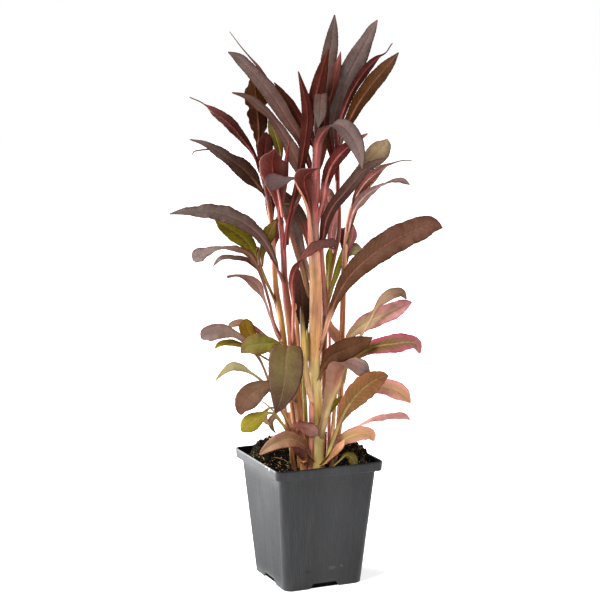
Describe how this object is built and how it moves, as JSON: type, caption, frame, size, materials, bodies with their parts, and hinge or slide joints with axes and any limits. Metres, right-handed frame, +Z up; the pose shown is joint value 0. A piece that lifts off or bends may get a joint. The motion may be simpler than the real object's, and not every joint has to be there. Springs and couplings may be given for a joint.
{
  "type": "potted cardinal flower",
  "caption": "Young bronze-leaved cardinal flower plant, not in flower, growing as a clump of upright leafy stems in a square black plastic nursery pot.",
  "frame": {"origin": "middle of the pot's foot, on the surface the pot stands on", "axes": "+Z up along the stems, X and Y across the pot's sides; the picture looks at the pot's front left edge from -Y, turned 23 degrees"},
  "size_m": [0.1927, 0.1205, 0.4459],
  "materials": {
    "pot_plastic": "satin",
    "compost": "matte",
    "stem_peach": "satin",
    "stem_yellow_olive": "satin",
    "stem_rose": "satin",
    "leaf_mauve": "satin",
    "leaf_burgundy": "satin",
    "leaf_pink": "satin",
    "leaf_olive": "satin",
    "leaf_green": "satin",
    "leaf_tan": "satin",
    "leaf_dark": "satin",
    "leaf_bronze": "satin",
    "leaf_orange": "satin"
  },
  "bodies": {
    "root": {"pot": "pot_plastic", "compost": "compost", "stem_main": "stem_peach", "stem_left": "stem_yellow_olive", "stem_left_front": "stem_rose", "stem_right": "stem_rose", "stem_back": "stem_rose", "top_leaf": "leaf_mauve", "top_leaf_red": "leaf_burgundy", "top_leaf_dark": "leaf_burgundy", "small_grey_leaf": "leaf_mauve", "left_leaf_grey": "leaf_mauve", "left_leaf_narrow": "leaf_pink", "left_leaf_olive": "leaf_olive", "crossing_leaf": "leaf_mauve", "left_leaf_green": "leaf_green", "left_leaf_red": "leaf_burgundy", "left_leaf_wide": "leaf_mauve", "folded_leaf_left": "leaf_burgundy", "folded_leaf_middle": "leaf_burgundy", "grey_tongue_leaf": "leaf_mauve", "arching_leaf": "leaf_mauve", "right_leaf_grey": "leaf_mauve", "right_leaf_twisted": "leaf_burgundy", "right_leaf_olive": "leaf_olive", "right_leaf_mauve": "leaf_burgundy", "right_leaf_tan": "leaf_tan", "right_leaf_dark": "leaf_dark", "right_leaf_long": "leaf_burgundy", "right_leaf_curled": "leaf_pink", "long_leaf_left": "leaf_bronze", "green_leaf_left": "leaf_green", "spoon_leaf_left": "leaf_mauve", "small_leaf_left": "leaf_burgundy", "olive_leaf_left": "leaf_olive", "front_leaf_crossing": "leaf_bronze", "big_leaf_right": "leaf_bronze", "dark_leaf_middle": "leaf_dark", "dark_leaf_low": "leaf_dark", "low_leaf_round": "leaf_mauve", "low_leaf_green": "leaf_green", "low_leaf_ochre": "leaf_olive", "low_leaf_pale": "leaf_green", "low_leaf_left": "leaf_bronze", "hanging_leaf": "leaf_olive", "low_leaf_yellow": "leaf_green", "orange_leaf_front": "leaf_orange", "low_leaf_dark": "leaf_dark", "low_leaf_pink_edge": "leaf_tan", "low_leaf_pink": "leaf_pink", "low_leaf_brown_curl": "leaf_olive", "folded_leaf_low": "leaf_tan", "low_leaf_olive_right": "leaf_olive", "low_leaf_tan": "leaf_tan", "low_leaf_thin_pink": "leaf_pink", "orange_leaf_right": "leaf_orange", "back_leaf_tall": "leaf_burgundy", "back_leaf_left": "leaf_bronze", "back_leaf_right": "leaf_bronze", "back_leaf_low": "leaf_olive"}
  },
  "joints": []
}
